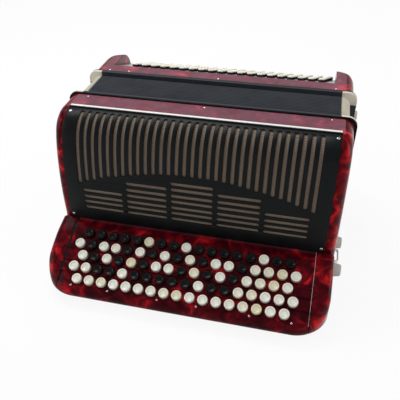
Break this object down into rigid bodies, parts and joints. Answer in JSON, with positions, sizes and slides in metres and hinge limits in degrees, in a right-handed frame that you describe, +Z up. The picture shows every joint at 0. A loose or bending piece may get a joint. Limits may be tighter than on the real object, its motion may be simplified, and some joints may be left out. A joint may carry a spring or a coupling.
{
  "type": "chromatic button accordion",
  "caption": "Button accordion lying on its back: stepped round-button keyboard, curved slotted grille, folded bellows, slanted bass button board and hand strap.",
  "frame": {"origin": "centre of the bounding box's base, on the plane that the instrument's back rests on", "axes": "+X along the button rows towards the end with the feet, +Y from the treble keyboard to the bass end, +Z up out of the grille side"},
  "size_m": [0.4364, 0.4146, 0.234],
  "materials": {
    "pearl_red": "dark red pearl celluloid, high gloss",
    "gloss_black": "black lacquer, high gloss",
    "grille_black": "black lacquer, gloss",
    "grille_cloth": "brown woven cloth",
    "white_trim": "white celluloid",
    "treble_buttons": "cream and black, polished",
    "bass_buttons": "cream, polished",
    "bass_board": "grey, satin",
    "bellows_cloth": "charcoal book cloth on folded card",
    "floor": "dull black",
    "cover": "black, satin",
    "strap_leather": "black leather",
    "bright_metal": "polished",
    "foot_rubber": "black rubber",
    "wood": "bare spruce",
    "steel": "bright drawn wire"
  },
  "bodies": {
    "treble": {"treble_casing": "pearl_red", "treble_grille": "grille_black", "grille_cloth": "grille_cloth", "grille_trim_strip": "white_trim", "fingerboard": "pearl_red", "fingerboard_end_cap_left": "pearl_red", "fingerboard_end_cap_right": "pearl_red", "fingerboard_floor": "floor", "treble_bellows_frame": "gloss_black", "bellows": "bellows_cloth", "foot_treble_front": "foot_rubber", "foot_treble_rear": "foot_rubber", "strap_bracket_upper_front": "bright_metal", "strap_bracket_upper_rear": "bright_metal", "strap_bracket_lower": "bright_metal", "treble_pallet_board": "wood", "treble_reed_block_1": "wood", "treble_reed_block_2": "wood", "treble_reed_block_3": "wood", "treble_lever_axle": "steel"},
    "bass": {"bass_bellows_frame": "gloss_black", "bass_casing": "pearl_red", "bass_button_board": "bass_board", "bass_end_cover": "cover", "hand_strap": "strap_leather", "strap_clip_upper": "bright_metal", "strap_clip_lower": "bright_metal", "foot_bass_back": "foot_rubber", "foot_bass_front": "foot_rubber", "bass_pallet_board": "wood", "bass_reed_block_1": "wood", "bass_reed_block_2": "wood"},
    "treble_button_row_1": {"treble_button_row_1": "treble_buttons"},
    "treble_button_row_2": {"treble_button_row_2": "treble_buttons"},
    "treble_button_row_3": {"treble_button_row_3": "treble_buttons"},
    "treble_button_row_4": {"treble_button_row_4": "treble_buttons"},
    "treble_button_row_5": {"treble_button_row_5": "treble_buttons"},
    "bass_button_row_1": {"bass_button_row_1": "bass_buttons"},
    "bass_button_row_2": {"bass_button_row_2": "bass_buttons"},
    "bass_button_row_3": {"bass_button_row_3": "bass_buttons"},
    "bass_button_row_4": {"bass_button_row_4": "bass_buttons"},
    "bass_button_row_5": {"bass_button_row_5": "bass_buttons"},
    "bass_button_row_6": {"bass_button_row_6": "bass_buttons"},
    "air_valve": {"air_valve_button": "bass_buttons"},
    "strap_adjuster": {"strap_adjuster_wheel": "bright_metal"}
  },
  "joints": [
    {"name": "bellows_draw", "type": "slide", "parent": "treble", "child": "bass", "axis": [0, 1, 0], "range_m": [0, 0.28], "deforming": ["bellows"]},
    {"name": "treble_row_1_press", "type": "slide", "parent": "treble", "child": "treble_button_row_1", "axis": [0, 0.3746, -0.9272], "range_m": [0, 0.0045], "stiffness_N_per_m": 1700, "springref_m": -0.005},
    {"name": "treble_row_2_press", "type": "slide", "parent": "treble", "child": "treble_button_row_2", "axis": [0, 0.3746, -0.9272], "range_m": [0, 0.0045], "stiffness_N_per_m": 1700, "springref_m": -0.005},
    {"name": "treble_row_3_press", "type": "slide", "parent": "treble", "child": "treble_button_row_3", "axis": [0, 0.3746, -0.9272], "range_m": [0, 0.0045], "stiffness_N_per_m": 1700, "springref_m": -0.005},
    {"name": "treble_row_4_press", "type": "slide", "parent": "treble", "child": "treble_button_row_4", "axis": [0, 0.3746, -0.9272], "range_m": [0, 0.0045], "stiffness_N_per_m": 1700, "springref_m": -0.005},
    {"name": "treble_row_5_press", "type": "slide", "parent": "treble", "child": "treble_button_row_5", "axis": [0, 0.3746, -0.9272], "range_m": [0, 0.0045], "stiffness_N_per_m": 1700, "springref_m": -0.005},
    {"name": "bass_row_1_press", "type": "slide", "parent": "bass", "child": "bass_button_row_1", "axis": [0, -0.342, -0.9397], "range_m": [0, 0.004], "stiffness_N_per_m": 2000, "springref_m": -0.005},
    {"name": "bass_row_2_press", "type": "slide", "parent": "bass", "child": "bass_button_row_2", "axis": [0, -0.342, -0.9397], "range_m": [0, 0.004], "stiffness_N_per_m": 2000, "springref_m": -0.005},
    {"name": "bass_row_3_press", "type": "slide", "parent": "bass", "child": "bass_button_row_3", "axis": [0, -0.342, -0.9397], "range_m": [0, 0.004], "stiffness_N_per_m": 2000, "springref_m": -0.005},
    {"name": "bass_row_4_press", "type": "slide", "parent": "bass", "child": "bass_button_row_4", "axis": [0, -0.342, -0.9397], "range_m": [0, 0.004], "stiffness_N_per_m": 2000, "springref_m": -0.005},
    {"name": "bass_row_5_press", "type": "slide", "parent": "bass", "child": "bass_button_row_5", "axis": [0, -0.342, -0.9397], "range_m": [0, 0.004], "stiffness_N_per_m": 2000, "springref_m": -0.005},
    {"name": "bass_row_6_press", "type": "slide", "parent": "bass", "child": "bass_button_row_6", "axis": [0, -0.342, -0.9397], "range_m": [0, 0.004], "stiffness_N_per_m": 2000, "springref_m": -0.005},
    {"name": "air_valve_press", "type": "slide", "parent": "bass", "child": "air_valve", "axis": [0, -1, 0], "range_m": [0, 0.004], "stiffness_N_per_m": 500, "springref_m": -0.004},
    {"name": "strap_adjuster_turn", "type": "hinge", "parent": "bass", "child": "strap_adjuster", "pos_m": [-0.2045, 0.14725, 0.1], "axis": [1, 0, 0], "range_deg": [0, 720]}
  ]
}
